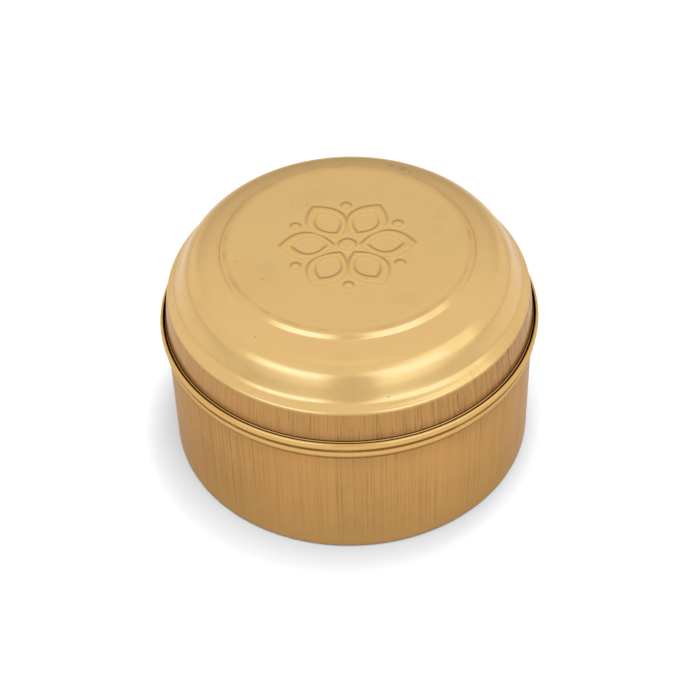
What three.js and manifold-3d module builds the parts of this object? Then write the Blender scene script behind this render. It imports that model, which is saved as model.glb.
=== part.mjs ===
// A round brass spice box, the masala dabba: a drawn pan with a stepped collar, a pressed lid that drops
// into the collar, seven small cups and a flat-handled spoon that lies across their rims.
// Millimetres, +Z up. The origin is the centre of the underside.
import * as THREE from 'three';
import { mergeVertices } from 'three/addons/utils/BufferGeometryUtils.js';
import Module from 'manifold-3d';

// Driving dimensions. The box and its lid are the same sheet, the cups and the spoon are their own.
const boxSheet = 0.8;
const fitGap = 0.3; // between pieces that rest on each other
const panRadius = 77.6; // outside of the straight wall
const panCorner = 2.3; // outside radius where the base turns up into the wall
const stepHeight = 57.0; // underside of the step that carries the lid
const collarRadius = 79.4; // outside of the collar above the step
const hemRadius = 80.0; // outside of the folded hem, the widest place
const hemBottom = 61.9;
const hemTop = 65.4;
const hemBulge = 0.9; // how far the hem's bead stands out from its own edges
const hemLip = 0.4; // drop from the top of the bead to the collar's inside
const hemNotch = 0.35; // the hem's free edge stands off the collar by this notch

const discRadius = 50.9; // the flat top of the lid
const discHeight = 99.5;
const skirtHemRadius = 78.0; // the lid's own folded edge, inside the collar
const skirtHemTop = 64.9;
const skirtHemCorner = 0.5;

const petalCount = 6;
const petalRelief = 0.6;
const petalRoot = 5.4; // nearest and farthest reach of a petal from the lid's centre
const petalTip = 28.0;
const petalHalfWidth = 8.6;
const petalStroke = 3.2;
const petalTipStroke = 5.1; // the ribbon is wider at the pointed tip
const petalSpread = [1.25, 1.3]; // how far the side swells near the root and near the tip, in half widths
const petalSwell = [0.28, 0.72]; // and where along the petal
const budRadius = 2.0; // the small drops between the petals' tips
const budCircle = 24.5;
const heartRadius = 3.6;

const cupSheet = 0.7;
const cupHeight = 44.0;
const cupRimRadius = 25.1;
const cupWallRadius = 24.4;
const cupFootRadius = 23.2;
const cupCorner = 3.0;
const cupRimHeight = 1.8;
const cupCircle = 51.0; // circle of the outer cups' centres
const outerCups = 6;

const spoonSheet = 1.0;
const bowlRadius = 13.0;
const bowlDepth = 8.0;
const handleWidth = 8.0;
const handleNeck = 5.0; // width where the handle meets the bowl
const bowlX = -47.5; // the bowl hangs in the cup on the -X side
const handleEndX = 46.0;

const boxFacets = 44; // flat sides round each turned piece
const cupFacets = 24;
const bowlFacets = 24;
const boxCornerSteps = 4; // steps round each small corner
const cupCornerSteps = 2;
const skirtHemSteps = 2;
const lidSteps = 2; // steps between the lid's stations
const bowlSteps = 4;
const petalSteps = 7;
const openingSteps = 5;
const roundSteps = 8;
const cutClear = 1.0; // a cutter runs this far past what it cuts
const mergeDistance = 1e-4;

const brass = (color, roughness) => new THREE.MeshStandardMaterial({ color, roughness, metalness: 1 });
const lidBrass = brass(0xdcb679, 0.22);
const wallBrass = brass(0xbc9159, 0.38);
const cupBrass = brass(0xd6ad6c, 0.28);
const spoonBrass = brass(0xdab36f, 0.2);

const degrees = Math.PI / 180;

// A smooth outline through stations [radius, height, fall in degrees below the horizontal]. The slope of
// every point is kept, so that the inside of the sheet can be stepped off square to it.
function rolledLine(stations, steps) {
  const line = [];
  for (let i = 0; i + 1 < stations.length; i += 1) {
    const [r0, z0, fall0] = stations[i];
    const [r1, z1, fall1] = stations[i + 1];
    const reach = Math.hypot(r1 - r0, z1 - z0);
    const leave = [reach * Math.cos(fall0 * degrees), -reach * Math.sin(fall0 * degrees)];
    const arrive = [reach * Math.cos(fall1 * degrees), -reach * Math.sin(fall1 * degrees)];
    const last = i + 2 === stations.length;
    for (let s = 0; s < steps + (last ? 1 : 0); s += 1) {
      const t = s / steps;
      const towards = 3 * t ** 2 - 2 * t ** 3;
      const leaving = t ** 3 - 2 * t ** 2 + t;
      const arriving = t ** 3 - t ** 2;
      const r = (1 - towards) * r0 + leaving * leave[0] + towards * r1 + arriving * arrive[0];
      const z = (1 - towards) * z0 + leaving * leave[1] + towards * z1 + arriving * arrive[1];
      line.push({ r, z, fall: fall0 + (fall1 - fall0) * t });
    }
  }
  return line.map((point, i) => {
    const before = line[Math.max(i - 1, 0)];
    const after = line[Math.min(i + 1, line.length - 1)];
    const end = i === 0 || i === line.length - 1;
    const fall = Math.atan2(before.z - after.z, after.r - before.r) / degrees;
    return { ...point, fall: end ? point.fall : fall };
  });
}

const steppedIn = (line, sheet) =>
  line.map(({ r, z, fall }) => [r - sheet * Math.sin(fall * degrees), z - sheet * Math.cos(fall * degrees)]);

// A quarter-round corner of an outline, from one angle to the other about its centre.
function corner(centreR, centreZ, radius, fromDegrees, toDegrees, steps) {
  return Array.from({ length: steps + 1 }, (_, i) => {
    const angle = (fromDegrees + ((toDegrees - fromDegrees) * i) / steps) * degrees;
    return [centreR + radius * Math.cos(angle), centreZ + radius * Math.sin(angle)];
  });
}

// An outline of [radius, height] points turned about the upright axis.
function turned(outline, facets) {
  const points = outline.map(([r, z]) => new THREE.Vector2(Math.max(r, 0), z));
  return new THREE.LatheGeometry(points, facets).rotateX(Math.PI / 2);
}

function onlyPositions(geometry) {
  const bare = geometry.clone();
  bare.deleteAttribute('normal');
  bare.deleteAttribute('uv');
  return mergeVertices(bare, mergeDistance);
}

const wasm = await Module();
wasm.setup();

function solid(geometry) {
  const bare = onlyPositions(geometry);
  return new wasm.Manifold(new wasm.Mesh({
    numProp: 3,
    vertProperties: new Float32Array(bare.attributes.position.array),
    triVerts: new Uint32Array(bare.index.array),
  }));
}

function geometryOf(manifold) {
  const { vertProperties, triVerts } = manifold.getMesh();
  const geometry = new THREE.BufferGeometry();
  geometry.setAttribute('position', new THREE.BufferAttribute(new Float32Array(vertProperties), 3));
  geometry.setIndex(new THREE.BufferAttribute(new Uint32Array(triVerts), 1));
  return geometry;
}

// Box body: base, wall, step, collar and hem in one outline.
function boxBody() {
  const insideWall = panRadius - boxSheet;
  const insideCollar = collarRadius - boxSheet;
  const insideCorner = panCorner - boxSheet;
  const seat = stepHeight + boxSheet;
  const stepRound = collarRadius - panRadius; // the step is one rounded shoulder
  const bead = corner(0, 0, 1, -90, 90, boxCornerSteps).map(([across, up]) => [
    hemRadius - hemBulge + hemBulge * across,
    (hemTop + hemBottom) / 2 + ((hemTop - hemBottom) / 2) * up,
  ]);
  return turned([
    [0, 0],
    ...corner(panRadius - panCorner, panCorner, panCorner, -90, 0, boxCornerSteps),
    ...corner(panRadius, stepHeight + stepRound, stepRound, -90, 0, boxCornerSteps),
    [collarRadius, hemBottom - hemNotch],
    ...bead,
    [insideCollar, hemTop - hemLip],
    [insideCollar, seat],
    [insideWall, seat],
    ...corner(insideWall - insideCorner, boxSheet + insideCorner, insideCorner, 0, -90, boxCornerSteps),
    [0, boxSheet],
  ], boxFacets);
}

// Lid: disc, sloping step, domed shoulder, steep fall, ledge, rounded corner and upright skirt.
const lidStations = [
  [discRadius, discHeight, 0],
  [51.8, 99.1, 45],
  [53.2, 97.2, 50],
  [54.3, 96.8, 8],
  [64.6, 93.9, 41],
  [67.6, 90.8, 58],
  [69.1, 88.0, 63],
  [71.6, 82.6, 64],
  [72.9, 80.9, 42],
  [74.5, 79.6, 45],
  [75.5, 78.6, 66],
  [76.1, 77.0, 81],
  [77.4, skirtHemTop + skirtHemCorner, 87],
];

function lidShell() {
  const outside = rolledLine(lidStations, lidSteps);
  const inside = steppedIn(outside, boxSheet).reverse();
  const skirtFoot = stepHeight + boxSheet + fitGap;
  const [skirtInside] = inside[0];
  const hemR = skirtHemRadius - skirtHemCorner;
  return turned([
    [0, discHeight - boxSheet],
    ...inside.slice().reverse(),
    [skirtInside, skirtFoot],
    ...corner(hemR, skirtFoot + skirtHemCorner, skirtHemCorner, -90, 0, skirtHemSteps),
    [skirtHemRadius, skirtHemTop],
    ...outside.map(({ r, z }) => [r, z]).reverse(),
    [0, discHeight],
  ], boxFacets);
}

// A pointed petal on the +X side of the lid's centre, as a closed shape.
function petal(root, tip, halfWidth) {
  const length = tip - root;
  const shape = new THREE.Shape();
  const [rootX, tipX] = petalSwell.map((place) => root + place * length);
  const [rootY, tipY] = petalSpread.map((spread) => halfWidth * spread);
  shape.moveTo(root, 0);
  shape.bezierCurveTo(rootX, rootY, tipX, tipY, tip, 0);
  shape.bezierCurveTo(tipX, -tipY, rootX, -rootY, root, 0);
  return shape;
}

function round(radius, x) {
  const shape = new THREE.Shape();
  shape.absarc(x, 0, radius, 0, 2 * Math.PI);
  return shape;
}

// Everything raised on the disc, sunk into it by half a sheet so that it joins.
function ornament() {
  const sunk = boxSheet / 2;
  const raised = (shape, curveSegments, past = 0) => {
    const options = { depth: sunk + petalRelief + 2 * past, bevelEnabled: false, curveSegments };
    return solid(new THREE.ExtrudeGeometry(shape, options).translate(0, 0, discHeight - sunk - past));
  };
  const opening = petal(petalRoot + petalStroke, petalTip - petalTipStroke, petalHalfWidth - petalStroke);
  const ribbon = raised(petal(petalRoot, petalTip, petalHalfWidth), petalSteps)
    .subtract(raised(opening, openingSteps, cutClear));
  const bud = raised(round(budRadius, budCircle), roundSteps);
  let raisedWork = raised(round(heartRadius, 0), roundSteps);
  for (let i = 0; i < petalCount; i += 1) {
    const turn = (360 / petalCount) * i;
    raisedWork = raisedWork.add(ribbon.rotate([0, 0, turn]));
    raisedWork = raisedWork.add(bud.rotate([0, 0, turn + 180 / petalCount]));
  }
  return raisedWork;
}

// Cup: a slightly tapered wall, a rounded foot and a plain rolled rim.
function cup() {
  const rimRound = (cupRimRadius - cupWallRadius + cupSheet) / 2;
  const inside = cupWallRadius - cupSheet;
  const insideCorner = cupCorner - cupSheet;
  return turned([
    [0, 0],
    ...corner(cupFootRadius - cupCorner, cupCorner, cupCorner, -90, 0, cupCornerSteps),
    [cupWallRadius, cupHeight - cupRimHeight],
    [cupRimRadius, cupHeight - cupRimHeight],
    ...corner(cupRimRadius - rimRound, cupHeight - rimRound, rimRound, 0, 180, cupCornerSteps),
    [inside, cupHeight - cupRimHeight],
    ...corner(cupFootRadius - cupCorner, cupCorner, insideCorner, 0, -90, cupCornerSteps),
    [0, cupSheet],
  ], cupFacets);
}

// Spoon, with its top face at height 0: a round bowl below it and a strap handle that widens to a round end.
function spoon() {
  const bowlLine = (radius, depth) => corner(0, 0, 1, -90, 0, bowlSteps)
    .map(([across, up]) => [radius * across, depth * up]);
  const outer = bowlLine(bowlRadius, bowlDepth);
  const inner = bowlLine(bowlRadius - spoonSheet, bowlDepth - spoonSheet);
  const bowl = turned([...outer, ...inner.slice().reverse()], bowlFacets).translate(bowlX, 0, 0);
  const neckX = bowlX + bowlRadius - spoonSheet / 2;
  const strap = new THREE.Shape();
  strap.moveTo(neckX, -handleNeck / 2);
  strap.lineTo(handleEndX - handleWidth / 2, -handleWidth / 2);
  strap.absarc(handleEndX - handleWidth / 2, 0, handleWidth / 2, -Math.PI / 2, Math.PI / 2);
  strap.lineTo(neckX, handleNeck / 2);
  const options = { depth: spoonSheet, bevelEnabled: false, curveSegments: roundSteps };
  const handle = new THREE.ExtrudeGeometry(strap, options).translate(0, 0, -spoonSheet);
  return solid(bowl).add(solid(handle));
}

const dabba = new THREE.Group();

function place(name, geometry, material, x, y, z) {
  const mesh = new THREE.Mesh(geometry, material.clone());
  mesh.name = name;
  mesh.position.set(x, y, z);
  dabba.add(mesh);
}

place('box_body', boxBody(), wallBrass, 0, 0, 0);
place('lid', geometryOf(solid(lidShell()).add(ornament())), lidBrass, 0, 0, 0);

const cupFloor = boxSheet + fitGap;
place('cup_centre', cup(), cupBrass, 0, 0, cupFloor);
for (let i = 0; i < outerCups; i += 1) {
  const angle = (360 / outerCups) * i * degrees;
  place(`cup_${i + 1}`, cup(), cupBrass, cupCircle * Math.cos(angle), cupCircle * Math.sin(angle), cupFloor);
}

place('spoon', geometryOf(spoon()), spoonBrass, 0, 0, cupFloor + cupHeight + fitGap + spoonSheet);

export default dabba;
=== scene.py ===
import math
import bmesh
import bpy
import numpy as np
from mathutils import Matrix, Vector


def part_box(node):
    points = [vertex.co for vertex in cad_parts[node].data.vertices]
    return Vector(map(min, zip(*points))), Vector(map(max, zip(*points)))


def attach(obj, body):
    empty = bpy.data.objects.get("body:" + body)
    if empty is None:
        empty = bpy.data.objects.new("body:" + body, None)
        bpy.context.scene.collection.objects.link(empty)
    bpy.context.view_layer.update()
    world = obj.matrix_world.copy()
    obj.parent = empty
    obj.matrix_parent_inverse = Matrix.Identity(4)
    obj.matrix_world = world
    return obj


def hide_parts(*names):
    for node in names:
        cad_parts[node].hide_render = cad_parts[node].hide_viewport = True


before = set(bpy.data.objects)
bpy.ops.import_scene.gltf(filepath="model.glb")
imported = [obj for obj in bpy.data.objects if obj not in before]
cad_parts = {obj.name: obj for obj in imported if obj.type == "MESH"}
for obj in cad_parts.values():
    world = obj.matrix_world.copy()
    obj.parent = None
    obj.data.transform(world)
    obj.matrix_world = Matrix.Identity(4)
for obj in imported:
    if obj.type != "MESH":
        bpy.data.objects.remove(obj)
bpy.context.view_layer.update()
mm = 0.001


class Wire:  # a socket that can be used in a sum or a product
    def __init__(self, tree, socket):
        self.tree, self.socket = tree, socket

    def math(self, operation, first, second=0.0):
        return addNode(self.tree, "ShaderNodeMath", {"operation": operation}, {0: first, 1: second})

    def __add__(self, other):
        return self.math("ADD", self, other)

    def __sub__(self, other):
        return self.math("SUBTRACT", self, other)

    def __rsub__(self, other):
        return self.math("SUBTRACT", other, self)

    def __mul__(self, other):
        return self.math("MULTIPLY", self, other)

    def __truediv__(self, other):
        return self.math("DIVIDE", self, other)

    def __pow__(self, other):
        return self.math("POWER", self, other)


def addNode(tree, kind, settings=None, sockets=None, out=0):
    node = tree.nodes.new(kind)
    for name, value in (settings or {}).items():  # settings first: some of them change the sockets
        setattr(node, name, value)
    for key, value in (sockets or {}).items():
        socket = node.inputs[key] if isinstance(key, int) else pick(node.inputs, key)
        if isinstance(value, Wire):
            tree.links.new(value.socket, socket)
        else:
            socket.default_value = value
    if isinstance(out, tuple):
        return tuple(Wire(tree, pick(node.outputs, name)) for name in out)
    if not node.outputs:
        return None
    return Wire(tree, node.outputs[out] if isinstance(out, int) else pick(node.outputs, out))


def pick(sockets, name):  # the socket in use that has this name or identifier
    return next(socket for socket in sockets if socket.enabled and name in (socket.name, socket.identifier))


def between(value, low, high, start=0.0, end=1.0):  # a smooth step from start to end
    sockets = {"Value": value, "From Min": low, "From Max": high, "To Min": start, "To Max": end}
    return addNode(value.tree, "ShaderNodeMapRange", {"interpolation_type": "SMOOTHSTEP"}, sockets)


def near(value, centre, halfWidth):  # 1 on the centre, 0 past the half width
    distance = value.math("ABSOLUTE", value - centre)
    return between(distance, halfWidth * 0.3, halfWidth, 1.0, 0.0)


def mixColor(factor, first, second):
    sockets = {"Factor": factor, "A": first, "B": second}
    for name in ("A", "B"):
        if not isinstance(sockets[name], Wire):
            sockets[name] = (*sockets[name], 1.0)
    tree = next(item.tree for item in sockets.values() if isinstance(item, Wire))
    return addNode(tree, "ShaderNodeMix", {"data_type": "RGBA"}, sockets, "Result")


def combined(x, y, z):
    tree = next(item.tree for item in (x, y, z) if isinstance(item, Wire))
    return addNode(tree, "ShaderNodeCombineXYZ", sockets={0: x, 1: y, 2: z})


def noise(vector, scale, detail=2.0, roughness=0.5):
    sockets = {"Vector": vector, "Scale": scale, "Detail": detail, "Roughness": roughness}
    return addNode(vector.tree, "ShaderNodeTexNoise", sockets=sockets)


class TurnedPlace:  # where a point is on a turned piece: radius, height and direction from the axis, in mm
    def __init__(self, tree):
        place = addNode(tree, "ShaderNodeAttribute", {"attribute_name": "turned"}, out="Vector")
        inMillimetres = {"Vector": place, "Scale": 1 / mm}
        self.spot = addNode(tree, "ShaderNodeVectorMath", {"operation": "SCALE"}, inMillimetres)
        parts = addNode(tree, "ShaderNodeSeparateXYZ", sockets={0: self.spot}, out=("X", "Y", "Z"))
        self.x, self.y, self.height = parts
        self.radius = (self.x * self.x + self.y * self.y + 0.01) ** 0.5  # a little over 0 on the axis itself

    # noise drawn out up the wall: how fine it is round the axis and up the wall, and how rich
    def upright(self, perTurn, perMillimetre, shift, detail, roughness):
        east = self.x / self.radius * perTurn + shift
        north = self.y / self.radius * perTurn
        return noise(combined(east, north, self.height * perMillimetre), 1.0, detail, roughness)

    def rings(self, perMillimetre, shift):  # noise drawn out round the axis
        wander = self.radius * perMillimetre
        return noise(combined(wander + shift, self.height * perMillimetre, self.x * 0.01), 1.0, 3.0, 0.6)


def newFinish(name):
    material = bpy.data.materials.new(name)
    material.use_nodes = True
    tree = material.node_tree
    tree.nodes.clear()
    return material, tree


# bare tells where there is no lacquer
def closeFinish(tree, settings, color, roughness, relief, reliefHeight, bare=None):
    bump = {"Height": relief, "Strength": 1.0, "Distance": reliefHeight}
    sockets = {
        "Base Color": color,
        "Metallic": 1.0,
        "Roughness": roughness,
        "Coat Weight": settings["lacquer"],
        "Coat Roughness": settings["lacquerRoughness"],
        "Coat IOR": 1.5,
        "Specular Tint": (*settings["edgeTint"], 1.0),
        "Normal": addNode(tree, "ShaderNodeBump", sockets=bump),
    }
    if bare is not None:
        sockets["Coat Weight"] = (1.0 - bare) * settings["lacquer"]
    shader = addNode(tree, "ShaderNodeBsdfPrincipled", sockets=sockets)
    addNode(tree, "ShaderNodeOutputMaterial", sockets={"Surface": shader})


wallFinish = {
    "clean": (0.665, 0.35, 0.112),
    "line": (0.29, 0.135, 0.038),
    "olive": (0.60, 0.335, 0.108),
    "polishedAndLightened": (0.84, 0.51, 0.17),
    # brown for residue and for painted shade
    "residueAndShade": (0.26, 0.10, 0.014),
    "creviceShade": (0.03, 0.016, 0.008),
    "inside": (0.86, 0.60, 0.27),
    "insideMark": (0.60, 0.37, 0.13),
    "roughness": 0.38,
    "polishedRoughness": 0.17,
    "lacquer": 0.22,
    "lacquerRoughness": 0.12,
    "edgeTint": (0.82, 0.68, 0.50),
    "grain": 0.46,  # how strongly each kind of mark darkens the wall
    "strokes": 0.42,
    "bands": 0.12,
    "tarnish": 0.12,
    "sideShade": 0.15,  # painted shade, a little more on one side: the left side darker
    "manyStrokes": (0.58, 0.70),  # lower numbers give more strokes
    "calm": (2.5, 10.0),  # the lines fade out towards the base between these heights
    "footLightening": (26.0, 0.20),  # painted light: lighter below this height, by this much, against the shaded floor that the wall reflects
    "underStepShade": (9.0, 0.16),  # painted shadow: darker this far below the step, by this much
    # darker towards the base below this height, by this much
    "footDarkening": (2.5, 0.22),
    "outsideFrom": 77.0,  # the radius that parts the inside from the outside
    "polishedFrom": 57.3,  # the collar and hem are burnished from this height up
    "groove": 61.5,
    "step": 55.8,
    "gapFrom": 57.4,  # the gap that the lid's hem dips into, painted dark as shade: its lowest height and its radii
    "gapRadii": (77.9, 78.84),
}


def drawLines(at, shift):  # fine upright marks, broad soft bands, and darker strokes with their own lengths
    grain = at.upright(170.0, 0.005, shift, 3.0, 0.7)
    wide = at.upright(40.0, 0.010, shift + 4.0, 3.0, 0.6)
    sparse = at.upright(320.0, 0.006, shift + 8.0, 1.0, 0.5)
    lengths = between(at.upright(95.0, 0.085, shift + 12.0, 1.0, 0.5), 0.44, 0.54)
    return grain, wide, sparse, lengths


def makeWallFinish():
    s = wallFinish
    material, tree = newFinish("drawnWallBrass")
    at = TurnedPlace(tree)
    outside = between(at.radius, s["outsideFrom"], s["outsideFrom"] + 0.3)
    burnished = between(at.height, s["polishedFrom"], s["polishedFrom"] + 1.2) * outside
    drawnPart = (1.0 - burnished) * outside
    grain, wide, sparse, lengths = drawLines(at, 3.0)
    blotch = noise(at.spot, 0.045, 4.0, 0.6)
    rubbed = noise(at.spot, 0.03, 2.0, 0.5)

    worn = between(rubbed, 0.38, 0.66, 0.45, 1.0)  # the lines show more in some places than in others
    strokes = between(sparse, *s["manyStrokes"]) * lengths * between(rubbed + wide * 0.4, 0.60, 0.80)
    drawn = between(grain, 0.45, 0.70) * s["grain"] * worn + strokes * s["strokes"]
    drawn = drawn + between(wide, 0.5, 0.75) * s["bands"] + between(blotch, 0.52, 0.78) * s["tarnish"]
    drawn = drawn * (drawnPart * between(at.height, *s["calm"], 0.3, 1.0) + burnished * 0.25)
    color = mixColor(between(blotch, 0.35, 0.6) * 0.5, s["clean"], s["olive"])
    # painted shade: the left side darkened along with the line marks
    drawn = drawn + between(at.x, -78.0, -5.0, s["sideShade"], 0.0) * drawnPart
    color = mixColor(drawn, color, s["line"])
    shade = between(grain, 0.24, 0.44, 1.0, 0.0) * drawnPart * worn * 0.35
    color = mixColor(shade, color, s["polishedAndLightened"])
    # painted light: the wall lighter towards the base
    reach, amount = s["footLightening"]
    color = mixColor(between(at.height, 2.0, reach, amount, 0.0) * drawnPart, color, s["polishedAndLightened"])
    color = mixColor(burnished, color, mixColor(drawn, s["polishedAndLightened"], s["line"]))

    # brown residue in the groove under the hem, spread wide as painted shade, and a painted shadow line
    # under the step
    grooveAndStepShade = near(at.height, s["groove"], 1.35) * between(noise(at.spot, 0.06, 2.0), 0.35, 0.6, 0.8, 1.0)
    grooveAndStepShade = (grooveAndStepShade + near(at.height, s["step"], 1.0) * 0.55) * outside
    # painted shadow below the step, and the wall darker towards the base
    reach, amount = s["underStepShade"]
    stepShadeAndFootDarkening = between(at.height, s["step"] - reach, s["step"], 0.0, amount) * drawnPart
    reach, amount = s["footDarkening"]
    stepShadeAndFootDarkening = stepShadeAndFootDarkening + between(at.height, 0.3, reach, amount, 0.0) * outside
    color = mixColor(grooveAndStepShade + stepShadeAndFootDarkening * between(blotch, 0.3, 0.6, 0.5, 1.0), color, s["residueAndShade"])

    insideMarks = between(at.rings(1.6, 31.0), 0.45, 0.75) * 0.5 + between(blotch, 0.5, 0.75) * 0.3
    inside = mixColor(insideMarks, s["inside"], s["insideMark"])
    color = mixColor(outside, inside, color)
    gapIn, gapOut = s["gapRadii"]
    # painted shade in the gap that the lid's hem dips into
    creviceShade = between(at.height, s["gapFrom"], s["gapFrom"] + 0.4) * between(at.radius, gapIn, gapIn + 0.2)
    creviceShade = creviceShade * between(at.radius, gapOut - 0.22, gapOut, 1.0, 0.0)
    color = mixColor(creviceShade, color, s["creviceShade"])

    soft = burnished * (s["polishedRoughness"] - s["roughness"]) + s["roughness"]
    roughness = soft + drawn * 0.12 + grooveAndStepShade * 0.3 + creviceShade * 0.4
    relief = (grain * 0.5 + strokes * -0.7 + wide * 0.5) * (1.0 - burnished)
    closeFinish(tree, s, color, roughness, relief, 0.00003, creviceShade)
    return material


lidFinish = {
    "clean": (0.89, 0.577, 0.224),
    "raised": (0.90, 0.575, 0.20),
    "skirt": (0.605, 0.315, 0.096),
    "line": (0.12, 0.055, 0.016),
    # brown for residue, for painted shade and for a painted reflection
    "residueAndShade": (0.46, 0.23, 0.05),
    "speck": (0.20, 0.095, 0.026),
    "creviceShade": (0.03, 0.016, 0.008),
    "roughness": 0.22,
    "skirtRoughness": 0.36,
    "lacquer": 0.35,
    "lacquerRoughness": 0.1,
    "edgeTint": (0.94, 0.86, 0.75),
    "grain": 0.26,  # how strongly each kind of mark darkens the skirt
    "strokes": 0.50,
    "bands": 0.06,
    "ragged": 0.30,  # strokes that run on over the skirt's top
    "manyStrokes": (0.62, 0.69),  # lower numbers give more strokes
    "manySecondStrokes": (0.63, 0.70),
    "skirtTop": 78.4,
    "hemTop": 65.25,
    "tuckShadeLine": 64.05,  # painted shade where the lid's hem dips into the collar
    "discEdge": 50.6,
    "brownReflection": (25.0, 57.5),  # a faint painted brown reflection behind the disc: its side position and radius
    "pitted": (42.0, 26.0),  # the middle of a patch with more specks
}


def makeLidFinish():
    s = lidFinish
    material, tree = newFinish("pressedLidBrass")
    at = TurnedPlace(tree)
    skirt = between(at.height, s["skirtTop"] - 0.9, s["skirtTop"] + 0.4, 1.0, 0.0)
    hem = between(at.height, s["hemTop"] - 0.2, s["hemTop"], 1.0, 0.0)
    feather = between(at.height, s["skirtTop"] - 0.5, s["skirtTop"] + 4.0, 1.0, 0.0)
    drawnPart = skirt * (1.0 - hem)
    top = 1.0 - feather

    grain, wide, sparse, lengths = drawLines(at, 17.0)
    second = at.upright(370.0, 0.006, 29.0, 1.0, 0.5)
    patch = noise(at.spot, 0.05, 2.0, 0.5)
    crowd = between(at.x + patch * 60.0, 10.0, 80.0)  # the strokes stand closer together on one side
    strokes = between(sparse + crowd * 0.05, *s["manyStrokes"]) * 0.85
    strokes = strokes + between(second + crowd * 0.06, *s["manySecondStrokes"]) * 0.8
    strokes = strokes * lengths
    drawn = between(grain, 0.42, 0.72) * s["grain"] + between(wide, 0.5, 0.75) * s["bands"]
    drawn = (drawn + strokes * s["strokes"] + crowd * 0.02) * drawnPart
    ragged = strokes * (feather - skirt) * between(patch, 0.48, 0.60) * s["ragged"]
    color = mixColor(skirt, s["clean"], s["skirt"])
    color = mixColor(drawn + ragged, color, s["line"])
    color = mixColor(hem, color, s["clean"])

    pressed = addNode(tree, "ShaderNodeAttribute", {"attribute_name": "pressEdge"}, out="Fac")
    raised = addNode(tree, "ShaderNodeAttribute", {"attribute_name": "raised"}, out="Fac")
    color = mixColor(raised * top, color, s["raised"])
    cloud = noise(at.spot, 0.028, 4.0, 0.6)
    pulled = at.upright(44.0, 0.02, 51.0, 3.0, 0.6)
    stain = between(patch, 0.52, 0.75) * 0.06 + between(cloud, 0.5, 0.72) * 0.10
    stain = stain + between(pulled, 0.5, 0.75) * between(at.radius, 54.0, 66.0) * 0.04
    ringWear = near(at.radius, s["discEdge"], 2.2) * 0.10
    edge = near(at.radius, s["discEdge"], 0.9) * between(noise(at.spot, 0.12, 3.0), 0.42, 0.66) * 0.22
    # a painted brown reflection on the slope behind the disc
    reflectionSide, reflectionRadius = s["brownReflection"]
    brownReflection = near(at.x, reflectionSide, 9.0) * near(at.radius, reflectionRadius, 2.6) * between(at.y, 20.0, 40.0)
    brownReflection = brownReflection * between(noise(at.spot, 0.4, 3.0), 0.4, 0.65) * 0.4
    # stains and residue, the painted brown reflection, and residue with painted shade on the relief's slopes
    color = mixColor((stain + edge + ringWear + brownReflection + pressed * 0.22) * top, color, s["residueAndShade"])

    dots = addNode(tree, "ShaderNodeTexVoronoi", {"feature": "F1"}, {"Vector": at.spot, "Scale": 0.16})
    specks = between(dots, 0.035, 0.065, 1.0, 0.0) * between(noise(at.spot, 0.035, 1.0), 0.5, 0.56)
    pittedX, pittedY = s["pitted"]
    pitting = near(at.x, pittedX, 18.0) * near(at.y, pittedY, 22.0)
    pitting = pitting * between(noise(at.spot, 0.9, 2.0, 0.7), 0.66, 0.72)
    specks = specks + pitting * between(at.radius, 30.0, 46.0) * 0.45
    color = mixColor(specks * top * 0.6, color, s["speck"])

    # painted shade: the hem below the skirt half darkened, where it sits in the box's collar
    color = mixColor(hem * 0.5, color, s["residueAndShade"])
    # painted shade: a thin dark line at the skirt's foot, and one where the hem dips into the collar
    rim = near(at.height, s["tuckShadeLine"], 0.75) * between(at.radius, 77.6, 77.8)
    crease = (near(at.height, s["hemTop"], 0.30) * 0.9 + rim) * skirt
    color = mixColor(crease, color, s["creviceShade"])
    haze = noise(at.spot, 0.30, 4.0, 0.6)
    roughness = drawnPart * (s["skirtRoughness"] - s["roughness"]) + s["roughness"]
    roughness = roughness + (haze - 0.5) * 0.10 + drawn * 0.15 + specks * 0.3 + crease * 0.3
    relief = (grain * 0.5 + strokes * -0.7) * drawnPart + haze * 0.05 * top + specks * top * -0.6
    closeFinish(tree, s, color, roughness, relief, 0.00003, crease)
    return material


cupFinish = {
    "clean": (0.88, 0.62, 0.27),
    "ring": (0.58, 0.36, 0.13),
    "roughness": 0.27,
    "lacquer": 0.2,
    "lacquerRoughness": 0.15,
    "edgeTint": (0.90, 0.80, 0.62),
}


def makeCupFinish():
    s = cupFinish
    material, tree = newFinish("spunCupBrass")
    at = TurnedPlace(tree)
    lines = at.rings(2.6, 4.0)
    broad = at.rings(0.5, 9.0)
    patch = noise(at.spot, 0.09, 3.0, 0.55)
    marks = between(lines, 0.5, 0.75) * 0.4 + between(broad, 0.5, 0.8) * 0.2
    color = mixColor(marks + between(patch, 0.5, 0.8) * 0.25, s["clean"], s["ring"])
    roughness = marks * 0.2 + s["roughness"] + (patch - 0.5) * 0.08
    closeFinish(tree, s, color, roughness, lines * 0.8 + broad * 0.4, 0.00002)
    return material


spoonFinish = {
    "clean": (0.86, 0.58, 0.225),
    "mark": (0.48, 0.27, 0.08),
    "roughness": 0.22,
    "lacquer": 0.2,
    "lacquerRoughness": 0.12,
    "edgeTint": (0.90, 0.80, 0.62),
}


def makeSpoonFinish():
    s = spoonFinish
    material, tree = newFinish("stampedSpoonBrass")
    spot = addNode(tree, "ShaderNodeTexCoord", out="Object")
    drawnOut = {"Vector": spot, "Scale": (60.0, 1900.0, 600.0)}
    along = addNode(tree, "ShaderNodeMapping", {"vector_type": "POINT"}, drawnOut)
    brushed = noise(along, 1.0, 3.0, 0.6)
    patch = noise(spot, 90.0, 3.0, 0.55)
    marks = between(brushed, 0.5, 0.78) * 0.4 + between(patch, 0.5, 0.8) * 0.2
    color = mixColor(marks, s["clean"], s["mark"])
    roughness = marks * 0.2 + s["roughness"]
    closeFinish(tree, s, color, roughness, brushed, 0.00001)
    return material


print("finishes")


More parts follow.
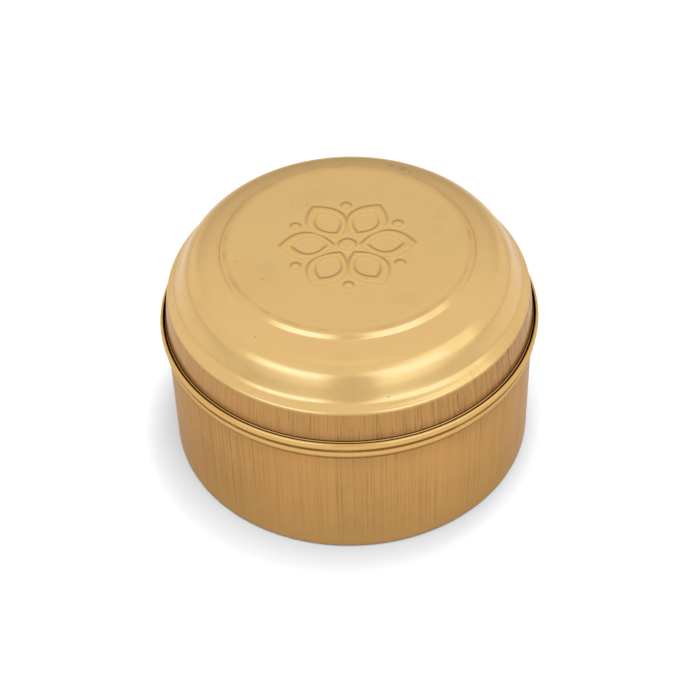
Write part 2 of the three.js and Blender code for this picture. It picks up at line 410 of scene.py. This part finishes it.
def makeTurningTree():  # turns an outline of points about the upright axis
    tree = bpy.data.node_groups.new("turnOutline", "GeometryNodeTree")
    face = tree.interface
    kinds = {"Geometry": "Geometry", "Sides": "Int", "Start Angle": "Float", "Unevenness": "Float",
             "Unevenness Size": "Float", "Centre": "Vector", "Finish": "Material"}
    for name, kind in kinds.items():
        face.new_socket(name, in_out="INPUT", socket_type="NodeSocket" + kind)
    face.new_socket("Geometry", in_out="OUTPUT", socket_type="NodeSocketGeometry")
    given = addNode(tree, "NodeGroupInput", out=tuple(kinds))
    outline, sides, startAngle, unevenness, size, centre, finish = given

    count = addNode(tree, "GeometryNodeAttributeDomainSize", {"component": "MESH"}, {0: outline})
    grid = addNode(tree, "GeometryNodeMeshGrid", sockets={"Vertices X": sides + 1, "Vertices Y": count})
    index = addNode(tree, "GeometryNodeInputIndex")
    column = index.math("FLOOR", index / count)
    row = index - column * count
    position = addNode(tree, "GeometryNodeInputPosition")
    sampled = addNode(tree, "GeometryNodeSampleIndex", {"data_type": "FLOAT_VECTOR", "domain": "POINT"},
                      {"Geometry": outline, "Value": position, "Index": row})
    radius, height = addNode(tree, "ShaderNodeSeparateXYZ", sockets={0: sampled}, out=("X", "Z"))
    angle = column / sides * (2 * math.pi) + startAngle
    x, y = radius * angle.math("COSINE", angle), radius * angle.math("SINE", angle)
    local = combined(x, y, height)
    placed = addNode(tree, "GeometryNodeSetPosition", sockets={"Geometry": grid, "Position": local})
    closed = addNode(tree, "GeometryNodeMergeByDistance", sockets={"Geometry": placed, "Distance": 1e-6})
    kept = addNode(tree, "GeometryNodeStoreNamedAttribute", {"data_type": "FLOAT_VECTOR", "domain": "POINT"},
                   {"Geometry": closed, "Name": "turned", "Value": position})
    scaled = addNode(tree, "ShaderNodeVectorMath", {"operation": "DIVIDE"},
                     {0: position, 1: combined(size, size, size)})
    soft = {"Vector": scaled, "Scale": 1.0, "Detail": 1.0}
    drift = addNode(tree, "ShaderNodeTexNoise", sockets=soft, out="Color")
    half = (0.5, 0.5, 0.5)
    centred = addNode(tree, "ShaderNodeVectorMath", {"operation": "SUBTRACT"}, {0: drift, 1: half})
    push = addNode(tree, "ShaderNodeVectorMath", {"operation": "SCALE"},
                   {"Vector": centred, "Scale": unevenness * 2.0})
    pushed = addNode(tree, "GeometryNodeSetPosition", sockets={"Geometry": kept, "Offset": push})
    moved = addNode(tree, "GeometryNodeTransform", sockets={"Geometry": pushed, "Translation": centre})
    smooth = addNode(tree, "GeometryNodeSetShadeSmooth", sockets={"Geometry": moved})
    real = addNode(tree, "GeometryNodeRealizeInstances", sockets={"Geometry": smooth})
    done = addNode(tree, "GeometryNodeSetMaterial", sockets={"Geometry": real, "Material": finish})
    addNode(tree, "NodeGroupOutput", sockets={"Geometry": done})
    return tree


turningTree = makeTurningTree()


def turnedPiece(name, outline, material, settings, startAngle=0.0, centre=(0, 0, 0)):
    lineMesh = bpy.data.meshes.new(name + "Outline")
    points = [(radius * mm, 0.0, height * mm) for radius, height in outline]
    lineMesh.from_pydata(points, [(i, i + 1) for i in range(len(points) - 1)], [])
    line = bpy.data.objects.new(name + "Outline", lineMesh)
    bpy.context.scene.collection.objects.link(line)
    modifier = line.modifiers.new("turn", "NODES")
    modifier.node_group = turningTree
    sockets = turningTree.interface.items_tree
    inputs = {item.name: item.identifier for item in sockets if item.in_out == "INPUT"}
    values = {
        "Sides": settings["sides"],
        "Start Angle": startAngle,
        "Unevenness": settings["unevenness"] * mm,
        "Unevenness Size": settings["unevennessSize"] * mm,
        "Centre": centre,
        "Finish": material,
    }
    for label, value in values.items():
        modifier[inputs[label]] = value
    return plainPiece(name, line)


def plainPiece(name, source):  # the evaluated object as a plain mesh with its faces pointing out
    evaluated = source.evaluated_get(bpy.context.evaluated_depsgraph_get())
    mesh = bpy.data.meshes.new_from_object(evaluated)
    mesh.name = name
    old = source.data
    bpy.data.objects.remove(source)
    bpy.data.meshes.remove(old)
    shape = bmesh.new()
    shape.from_mesh(mesh)
    bmesh.ops.remove_doubles(shape, verts=shape.verts, dist=1e-6)
    bmesh.ops.recalc_face_normals(shape, faces=shape.faces)
    shape.to_mesh(mesh)
    shape.free()
    piece = bpy.data.objects.new(name, mesh)
    bpy.context.scene.collection.objects.link(piece)
    return piece


def oval(centre, across, up, start, end, steps):  # points round an oval, angles in degrees
    angles = [math.radians(start + (end - start) * i / steps) for i in range(steps + 1)]
    return [(centre[0] + across * math.cos(a), centre[1] + up * math.sin(a)) for a in angles]


def arc(centre, radius, start, end, steps):
    return oval(centre, radius, radius, start, end, steps)


def straight(start, end, steps):  # points along a straight run, without its last one
    (r0, z0), (r1, z1) = start, end
    return [(r0 + (r1 - r0) * i / steps, z0 + (z1 - z0) * i / steps) for i in range(steps)]


def rolledLine(stations, steps):  # a smooth line through stations of radius, height and fall in degrees
    line = []
    for (r0, z0, fall0), (r1, z1, fall1) in zip(stations[:-1], stations[1:]):
        reach = math.hypot(r1 - r0, z1 - z0)
        leave = np.array((math.cos(math.radians(fall0)), -math.sin(math.radians(fall0)))) * reach
        arrive = np.array((math.cos(math.radians(fall1)), -math.sin(math.radians(fall1)))) * reach
        for t in np.linspace(0, 1, steps, endpoint=False):
            start, end = np.array((r0, z0)), np.array((r1, z1))
            line.append((2 * t**3 - 3 * t**2 + 1) * start + (t**3 - 2 * t**2 + t) * leave
                        + (3 * t**2 - 2 * t**3) * end + (t**3 - t**2) * arrive)
    line.append(np.array(stations[-1][:2]))
    return np.array(line)


def steppedIn(line, sheet):  # the same line on the other face of the sheet
    slope = np.gradient(line, axis=0)
    slope /= np.linalg.norm(slope, axis=1)[:, None]
    return line + np.stack((slope[:, 1], -slope[:, 0]), axis=1) * sheet


boxShape = {
    "sheet": 0.8,
    "panRadius": 77.6,
    "panCorner": 1.4,
    "wallFrom": 3.0,  # the straight wall begins at this height
    "stepHeight": 56.3,  # underside of the step
    "stepFillet": 0.35,
    "seatFillet": 0.5,
    "seatRound": 0.4,
    "collarRadius": 79.4,
    "collarMiddle": 60.0,  # the collar bulges most at this height
    "hemBottom": 61.9,
    "hemBulge": 0.9,
    "hemLip": 0.5,
    "groove": (0.35, 0.2),  # how far the groove under the hem lies in from the bead, and below it
    "clear": 0.5,  # kept between a round and the straight run beside it
    "sides": 384,
    "unevenness": 0.05,
    "unevennessSize": 28.0,
}


def makeBox():
    s = boxShape
    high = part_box("box_body")[1]
    hemRadius, hemTop = high.x / mm, high.z / mm
    wall, collar, sheet = s["panRadius"], s["collarRadius"], s["sheet"]
    corner, clear, lip, fillet = s["panCorner"], s["clear"], s["hemLip"], s["stepFillet"]
    foot, step, middle = wall - corner, s["stepHeight"], s["collarMiddle"]

    # outside, from the base's middle up to the hem
    outline = straight((0, 0), (foot, 0), 12)
    outline += arc((foot, corner), corner, -90, 0, 12)
    outline += straight((wall, s["wallFrom"]), (wall, step - fillet), 24)
    outline += arc((wall + fillet, step - fillet), fillet, 180, 100, 4)
    outline += oval((wall, middle), collar - wall, middle - step, -72, 30, 14)
    bead, halfHem = hemRadius - s["hemBulge"], (hemTop - s["hemBottom"]) / 2
    grooveIn, grooveBelow = s["groove"]
    outline += [(bead - grooveIn, s["hemBottom"] - grooveBelow)]
    outline += oval((bead, hemTop - halfHem), s["hemBulge"], halfHem, -85, 90, 18)

    # inside, back down to the base's middle
    insideCollar, insideWall, seat = collar - sheet, wall - sheet, step + sheet
    outline += arc((insideCollar + lip, hemTop - lip), lip, 90, 180, 7)[1:]
    root, shoulder, inCorner = s["seatFillet"], s["seatRound"], corner - sheet
    outline += straight((insideCollar, hemTop - 2 * clear), (insideCollar, seat + root), 4)
    outline += arc((insideCollar - root, seat + root), root, 0, -90, 5)
    outline += arc((insideWall + shoulder, seat - shoulder), shoulder, 90, 180, 5)
    outline += straight((insideWall, seat - 2 * clear), (insideWall, sheet + inCorner + clear), 16)
    outline += arc((insideWall - inCorner, sheet + inCorner), inCorner, 0, -90, 8)
    outline += straight((foot - clear, sheet), (0, sheet), 12) + [(0, sheet)]
    piece = turnedPiece("boxBody", outline, makeWallFinish(), s)
    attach(piece, "box")
    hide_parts("box_body")


makeBox()
print("box body")

lidShape = {
    "sheet": 0.8,
    "stations": [  # radius, height and fall of the pressed profile, from the disc's edge to the skirt's hem
        (50.9, 99.5, 0), (51.8, 99.1, 45), (53.2, 97.2, 50), (54.3, 96.8, 8), (64.6, 93.9, 41),
        (67.6, 90.8, 58), (69.1, 88.0, 63), (71.6, 82.6, 64), (72.9, 80.9, 42), (74.5, 79.6, 45),
        (75.5, 78.6, 66), (76.1, 77.0, 81), (77.4, 65.4, 87),
    ],
    "hemDrop": 0.7,  # from the skirt's end down to the hem
    "hemDepth": 0.35,
    "innerRound": 0.3,
    "clear": 0.5,
    "sides": 432,
    "unevenness": 0.05,
    "unevennessSize": 26.0,
    "flowerReach": 30.0,  # the part of the disc that is fine enough for the flower
    "ringStep": 0.5,
}

flowerShape = {
    "petals": 6,
    "relief": 0.6,
    "root": 5.4,
    "tip": 28.0,
    "halfWidth": 8.6,
    "stroke": 3.2,
    "tipStroke": 5.1,
    "swell": (0.28, 0.72),  # where along the petal its sides swell, and how far in half widths
    "spread": (1.25, 1.3),
    "budRadius": 2.0,
    "budCircle": 24.5,
    "heartRadius": 3.6,
    "edge": 1.8,  # width of the pressed slope at each edge
}


def petalEdge(root, tip, halfWidth):
    s = flowerShape
    t = np.linspace(0, 1, 240)
    swellX = [root + (tip - root) * place for place in s["swell"]]
    x = root * (1 - t)**3 + 3 * swellX[0] * t * (1 - t)**2 + 3 * swellX[1] * t**2 * (1 - t) + tip * t**3
    y = 3 * halfWidth * t * (1 - t) * (s["spread"][0] * (1 - t) + s["spread"][1] * t)
    return x, y


def insidePetal(x, y, root, tip, halfWidth):  # distance to the petal's edge, positive inside it
    edgeX, edgeY = petalEdge(root, tip, halfWidth)
    distance = np.sqrt((x[:, None] - edgeX)**2 + (y[:, None] - edgeY)**2).min(axis=1)
    within = y < np.interp(x, edgeX, edgeY, left=0.0, right=0.0)
    return np.where(within, distance, -distance)


def softStep(value, width):
    t = np.clip(value / width + 0.5, 0, 1)
    return t * t * (3 - 2 * t)


def flowerHeight(x, y):  # relief over the lid's disc, from 0 to 1
    s = flowerShape
    sector = 2 * math.pi / s["petals"]
    angle, radius = np.arctan2(y, x), np.hypot(x, y)
    turned = angle - np.round(angle / sector) * sector
    px, py = radius * np.cos(turned), np.abs(radius * np.sin(turned))
    outer = insidePetal(px, py, s["root"], s["tip"], s["halfWidth"])
    stroke = s["stroke"]
    inner = insidePetal(px, py, s["root"] + stroke, s["tip"] - s["tipStroke"], s["halfWidth"] - stroke)
    petals = softStep(outer, s["edge"]) * (1 - softStep(inner, s["edge"]))
    budX, budY = s["budCircle"] * math.cos(sector / 2), s["budCircle"] * math.sin(sector / 2)
    buds = softStep(s["budRadius"] - np.hypot(px - budX, py - budY), s["edge"])
    heart = softStep(s["heartRadius"] - radius, s["edge"])
    return np.maximum(np.maximum(petals, buds), heart)


def makeLid():
    s = lidShape
    low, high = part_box("lid")
    hemRadius, foot = high.x / mm, low.z / mm
    discEdge, discTop = s["stations"][0][:2]
    hemTop = s["stations"][-1][1] - s["hemDrop"]
    reach, ringStep = s["flowerReach"], s["ringStep"]
    rings = int(reach / ringStep)
    outside = rolledLine(s["stations"], 6)
    inside = steppedIn(outside, s["sheet"])[::-1]

    outline = [(ringStep * i, discTop) for i in range(rings)]
    outline += straight((reach, discTop), (discEdge, discTop), 5)
    outline += [tuple(point) for point in outside]
    depth, innerRound = s["hemDepth"], s["innerRound"]
    outline += arc((hemRadius - depth, hemTop - depth * 0.3), depth, 70, 0, 6)
    outline += arc((hemRadius - depth, foot + depth), depth, 0, -90, 4)
    outline += arc((inside[0][0] + innerRound, foot + innerRound), innerRound, -90, -180, 3)
    outline += [tuple(point) for point in inside[::2]]
    under = discTop - s["sheet"]
    outline += straight((discEdge - s["clear"], under), (reach, under), 3)
    outline += [(2 * ringStep * i, under) for i in range(rings // 2, -1, -1)]
    piece = turnedPiece("lidShell", outline, makeLidFinish(), s)

    count = len(piece.data.vertices)
    points = np.empty(count * 3)
    piece.data.vertices.foreach_get("co", points)
    points = points.reshape(-1, 3)
    onDisc = np.hypot(points[:, 0], points[:, 1]) < reach * mm
    height = flowerHeight(points[onDisc, 0] / mm, points[onDisc, 1] / mm)
    points[onDisc, 2] += height * flowerShape["relief"] * mm
    pressEdge = np.zeros(count)
    pressEdge[onDisc] = 4 * height * (1 - height)
    raised = np.zeros(count)
    raised[onDisc] = height
    piece.data.attributes.new("pressEdge", "FLOAT", "POINT").data.foreach_set("value", pressEdge)
    piece.data.attributes.new("raised", "FLOAT", "POINT").data.foreach_set("value", raised)
    piece.data.vertices.foreach_set("co", points.ravel())
    piece.data.update()
    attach(piece, "lid")
    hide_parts("lid")


makeLid()
print("lid")

cupShape = {
    "sheet": 0.7,
    "wallRadius": 24.4,
    "footRadius": 23.2,
    "corner": 3.0,
    "bead": 0.75,  # half the thickness of the rolled rim
    "baseLift": 0.25,  # the middle of the base stands this much clear of the ring it rests on
    "ringWidth": 4.0,
    "sides": 160,
    "unevenness": 0.05,
    "unevennessSize": 14.0,
    "turnBetween": 1.1,  # radians between one cup's marks and the next one's
}


def makeCups():
    s = cupShape
    finish = makeCupFinish()
    low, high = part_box("cup_centre")
    rim, height = high.x / mm, (high.z - low.z) / mm
    sheet, bead, corner, lift = s["sheet"], s["bead"], s["corner"], s["baseLift"]
    wall, footWall = s["wallRadius"], s["footRadius"]
    foot = footWall - corner
    ring = foot - s["ringWidth"]
    outline = straight((0, lift), (ring - 1, lift), 6) + straight((ring - 1, lift), (ring, 0), 2)
    outline += straight((ring, 0), (foot, 0), 2)
    outline += arc((foot, corner), corner, -90, -3, 12)
    outline += straight((footWall + 0.02, corner + 0.3), (wall, height - 2 * bead - 0.3), 16)
    outline += arc((rim - bead, height - bead), bead, -110, 180, 20)
    outline += straight((wall - sheet, height - 2 * bead), (footWall - sheet, corner + 0.3), 14)
    outline += arc((foot, corner), corner - sheet, -3, -90, 10)
    outline += straight((foot - 1, sheet), (0, sheet), 7) + [(0, sheet)]
    for turn, name in enumerate(sorted(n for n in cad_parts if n.startswith("cup_"))):
        low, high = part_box(name)
        middle = (low + high) / 2
        centre = (middle.x, middle.y, low.z)
        pieceName = "spiceCup" + name.split("_")[1].capitalize()
        piece = turnedPiece(pieceName, outline, finish, s, turn * s["turnBetween"], centre)
        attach(piece, name)
        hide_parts(name)


makeCups()
print("cups")

spoonShape = {
    "sheet": 1.0,
    "bowlRadius": 13.0,
    "neck": 5.0,
    "handle": 8.0,
    "across": 28,
    "fillet": 3.0,  # where the bowl runs out into the neck
    "bowlFullness": (2.2, 0.62),  # the first higher: a flatter bottom; the second lower: a steeper side
    "camber": 0.25,
    "edgeRound": 0.25,
}


def makeSpoon():
    s = spoonShape
    low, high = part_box("spoon")
    start, end, top = low.x / mm, high.x / mm, high.z / mm
    radius, fillet, tip = s["bowlRadius"], s["fillet"], s["handle"] / 2
    bowlX, tipX = start + radius, end - tip
    depth = (high.z - low.z) / mm - s["sheet"]
    flatness, steepness = s["bowlFullness"]
    stations = list(bowlX - radius * np.cos(np.linspace(0.04, math.pi * 0.86, 30)))
    stations += list(np.linspace(stations[-1] + 0.8, tipX, 26))
    stations += list(tipX + tip * np.sin(np.linspace(0.15, math.pi / 2 - 0.08, 8)))
    points = []
    for x in stations:
        circle = math.sqrt(max(radius**2 - (x - bowlX)**2, 0.0))
        run = (x - bowlX - radius) / (end - bowlX - radius)
        strap = (s["neck"] + (s["handle"] - s["neck"]) * min(max(run, 0), 1)) / 2
        if x > tipX:
            strap *= math.sqrt(max(1 - ((x - tipX) / tip)**2, 0.0))
        blend = max(fillet - abs(circle - strap), 0) / fillet if x > bowlX else 0.0
        half = (max(circle, strap) if x > bowlX else circle) + blend * blend * fillet * 0.25
        camber = s["camber"] if x > bowlX + radius else 0.0
        row = []
        for v in np.sin(np.linspace(-math.pi / 2, math.pi / 2, s["across"] + 1)):
            y = half * v
            fromMiddle = math.hypot(x - bowlX, y) / radius
            dip = depth * max(1 - fromMiddle**flatness, 0.0) ** steepness
            row.append((x * mm, y * mm, (top - dip - camber * v * v) * mm))
        points.append(row)
    shape = bmesh.new()
    grid = [[shape.verts.new(p) for p in row] for row in points]
    for rowA, rowB in zip(grid[:-1], grid[1:]):
        for i in range(s["across"]):
            shape.faces.new((rowA[i], rowB[i], rowB[i + 1], rowA[i + 1]))
    for face in shape.faces:
        face.smooth = True
    mesh = bpy.data.meshes.new("spoonSheet")
    shape.to_mesh(mesh)
    shape.free()
    sheet = bpy.data.objects.new("spoonSheet", mesh)
    bpy.context.scene.collection.objects.link(sheet)
    mesh.materials.append(makeSpoonFinish())
    thick = sheet.modifiers.new("sheet", "SOLIDIFY")
    thick.thickness, thick.offset = s["sheet"] * mm, -1.0
    thick.use_even_offset = True
    rounded = sheet.modifiers.new("rounded", "BEVEL")
    rounded.width, rounded.segments, rounded.limit_method = s["edgeRound"] * mm, 3, "ANGLE"
    fine = sheet.modifiers.new("fine", "SUBSURF")
    fine.levels = fine.render_levels = 1
    piece = plainPiece("spiceSpoon", sheet)
    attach(piece, "spoon")
    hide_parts("spoon")


makeSpoon()
print("spoon")


studio = {
    "overhead": 0.86,  # even light from the white room above
    "lowBack": 0.50,  # and from low down behind, in front, and beside the front's middle
    "lowFront": 0.69,
    "lowBeside": 0.14,
    "farSides": 0.83,  # the same height far out to the left and right
    "aboveFront": 0.10,  # added just in front of straight up
    "floorSize": 12.0,
    "floorWhite": 0.84,
    "floorSheen": (0.34, 0.30),  # the floor as the brass sees it: its white and its own glow
    "softboxes": [  # azimuth from the camera's side, elevation, distance, width, height, radiance
        (-38.0, 21.0, 0.9, 0.86, 0.44, (0.38, 0.48, 0.46)),
        (-36.0, 22.0, 0.89, 0.60, 0.34, (0.10, 0.34, 1.05)),
        (47.0, 24.0, 0.9, 1.22, 0.70, (0.33, 0.43, 0.44)),
        (38.0, 24.0, 0.89, 0.66, 0.46, (0.08, 0.24, 0.72)),
    ],
    "floorLights": [  # soft light that only whitens the floor, and a smaller one for the shadow's side
        (0.0, 78.0, 1.1, 1.1, 1.1, (2.95, 2.95, 2.95)),
        (150.0, 76.0, 1.1, 0.30, 0.30, (16.0, 16.0, 16.0)),
    ],
}


def addLight(name, azimuth, elevation, distance, width, height, radiance):
    data = bpy.data.lights.new(name, "AREA")
    data.shape, data.size, data.size_y = "RECTANGLE", width, height
    strongest = max(radiance)
    data.color = [level / strongest for level in radiance]
    data.energy = strongest * math.pi * width * height
    light = bpy.data.objects.new(name, data)
    a, e = math.radians(azimuth), math.radians(elevation)
    away = Vector((math.sin(a) * math.cos(e), -math.cos(a) * math.cos(e), math.sin(e)))
    light.location = away * distance + Vector((0, 0, 0.08))
    light.rotation_euler = away.to_track_quat("Z", "Y").to_euler()
    light.visible_camera = False
    bpy.context.scene.collection.objects.link(light)
    return light


def addFloor(name, height, white, glow=0.0):
    half = studio["floorSize"] / 2
    mesh = bpy.data.meshes.new(name)
    corners = [(-half, -half, height), (half, -half, height), (half, half, height), (-half, half, height)]
    mesh.from_pydata(corners, [], [(0, 1, 2, 3)])
    floor = bpy.data.objects.new(name, mesh)
    bpy.context.scene.collection.objects.link(floor)
    material, tree = newFinish(name)
    sockets = {"Base Color": (white, white, white, 1.0), "Roughness": 1.0, "Specular IOR Level": 0.0,
               "Emission Color": (1.0, 1.0, 1.0, 1.0), "Emission Strength": glow}
    shader = addNode(tree, "ShaderNodeBsdfPrincipled", sockets=sockets)
    addNode(tree, "ShaderNodeOutputMaterial", sockets={"Surface": shader})
    mesh.materials.append(material)
    floor.visible_shadow = False
    return floor


def makeStudio():
    s = studio
    world = bpy.data.worlds.new("studio")
    bpy.context.scene.world = world
    world.use_nodes = True
    tree = world.node_tree
    tree.nodes.clear()
    direction = addNode(tree, "ShaderNodeTexCoord", out="Generated")
    x, y, z = addNode(tree, "ShaderNodeSeparateXYZ", sockets={0: direction}, out=("X", "Y", "Z"))
    front = between(y, -0.2, 0.6, 1.0, 0.0)
    beside = between(y, -0.8, -0.3, 1.0, 0.0) * between(x * x, 0.02, 0.16)
    low = front * (s["lowFront"] - s["lowBack"]) + beside * s["lowBeside"] + s["lowBack"]
    aside = between(x * x + y * 0.5, 0.46, 0.76)
    low = low + aside * (s["farSides"] - low)
    rise = between(z, 0.3, 0.78)
    level = low + rise * (s["overhead"] - low)
    level = level + between(z, 0.88, 0.97) * between(y, -0.4, 0.05, 1.0, 0.0) * s["aboveFront"]
    background = addNode(tree, "ShaderNodeBackground", sockets={"Color": (1, 1, 1, 1), "Strength": level})
    addNode(tree, "ShaderNodeOutputWorld", sockets={"Surface": background})
    for number, values in enumerate(s["softboxes"]):
        light = addLight(f"softbox{number}", *values)
        light.visible_diffuse = False
    for number, values in enumerate(s["floorLights"]):
        addLight(f"floorLight{number}", *values).visible_glossy = False
    paper = addFloor("floorPaper", -0.08 * mm, s["floorWhite"])
    paper.visible_glossy = False
    sheen = addFloor("floorSheen", -0.07 * mm, *s["floorSheen"])
    sheen.visible_camera = sheen.visible_diffuse = False
    bpy.context.scene.cycles.caustics_reflective = False  # no coloured glints thrown on the floor


makeStudio()

cameraPlace = {
    "lens": 93.08,
    "elevation": 44.92,
    "distance": 0.7846,
    "roll": -1.616,
    "aimSide": -0.00013,
    "aimHeight": 0.0387,
}


def makeCamera():
    s = cameraPlace
    data = bpy.data.cameras.new("camera")
    data.lens, data.sensor_width = s["lens"], 36.0
    data.clip_start, data.clip_end = 0.01, 20.0
    camera = bpy.data.objects.new("camera", data)
    e = math.radians(s["elevation"])
    back = Vector((0, -math.cos(e), math.sin(e)))
    aim = Vector((s["aimSide"], 0, s["aimHeight"]))
    turn = back.to_track_quat("Z", "Y").to_matrix().to_4x4()
    roll = Matrix.Rotation(math.radians(s["roll"]), 4, "Z")
    camera.matrix_world = Matrix.Translation(aim + back * s["distance"]) @ turn @ roll
    bpy.context.scene.collection.objects.link(camera)
    bpy.context.scene.camera = camera
    bpy.context.scene.view_settings.view_transform = "Standard"


makeCamera()
print("studio and camera")

bpy.context.view_layer.update()
